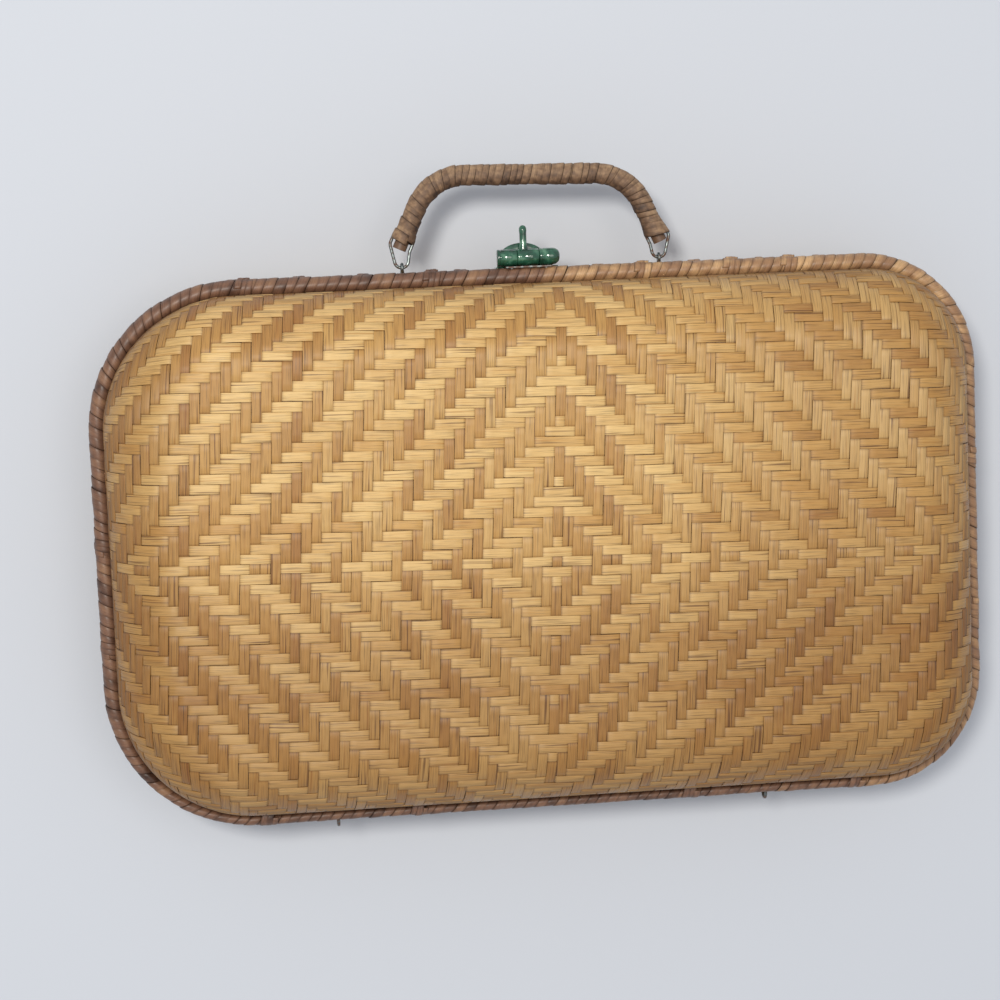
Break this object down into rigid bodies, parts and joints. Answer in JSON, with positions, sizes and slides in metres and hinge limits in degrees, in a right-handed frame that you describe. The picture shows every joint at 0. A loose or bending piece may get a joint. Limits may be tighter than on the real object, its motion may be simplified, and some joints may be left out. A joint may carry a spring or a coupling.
{
  "type": "basket box bag",
  "caption": "Hand-held clamshell box bag of twill-woven bamboo with cane-bound rims, a wrapped cane handle on wire loops and a green turn clasp",
  "frame": {"origin": "centre of the base tray's flat outer face", "axes": "+X along the width, +Y from the hinge to the handle and clasp, +Z out of the lid's face; the bag lies on its base tray"},
  "size_m": [0.386, 0.2857, 0.0917],
  "materials": {
    "woven_bamboo": "split bamboo strips, satin, fine lengthwise grain",
    "rim_bamboo": "flat bamboo hoop strip, satin",
    "cane_wrap": "varnished cane peel wrapped round the rim, semi gloss",
    "cane_tie": "flat cane lashing, semi gloss",
    "handle_cane": "varnished cane peel wrapped round the handle, semi gloss",
    "steel_wire": "bare steel wire, dull",
    "nail_steel": "small steel nails",
    "green_glaze": "glossy green, smooth"
  },
  "bodies": {
    "base": {"base_shell": "woven_bamboo", "base_outer_hoop": "rim_bamboo", "base_inner_hoop": "rim_bamboo", "base_rim_ties": "cane_tie", "hinge_ring_left": "steel_wire", "hinge_ring_right": "steel_wire", "handle_eye_left": "steel_wire", "handle_eye_right": "steel_wire", "clasp_plate": "green_glaze", "clasp_pin": "green_glaze", "clasp_plate_nails": "nail_steel"},
    "lid": {"lid_shell": "woven_bamboo", "lid_outer_hoop": "rim_bamboo", "lid_inner_hoop": "rim_bamboo", "lid_rim_wrap": "cane_wrap", "lid_rim_ties": "cane_tie", "clasp_keeper": "green_glaze", "keeper_nails": "nail_steel"},
    "handle": {"handle_core": "rim_bamboo", "handle_wrap": "handle_cane", "handle_loop_left": "steel_wire", "handle_loop_right": "steel_wire", "handle_binding_left": "handle_cane", "handle_binding_right": "handle_cane"},
    "clasp_lever": {"clasp_lever": "green_glaze"}
  },
  "joints": [
    {"name": "lid_hinge", "type": "hinge", "parent": "base", "child": "lid", "pos_m": [0, -0.11865, 0.046], "axis": [1, 0, 0], "range_deg": [0, 180]},
    {"name": "handle_swing", "type": "hinge", "parent": "base", "child": "handle", "pos_m": [0, 0.12, 0.042], "axis": [1, 0, 0], "range_deg": [-88, 70]},
    {"name": "clasp_turn", "type": "hinge", "parent": "base", "child": "clasp_lever", "pos_m": [-0.0021, 0.1226, 0.049], "axis": [1, 0, 0], "range_deg": [0, 90]}
  ]
}
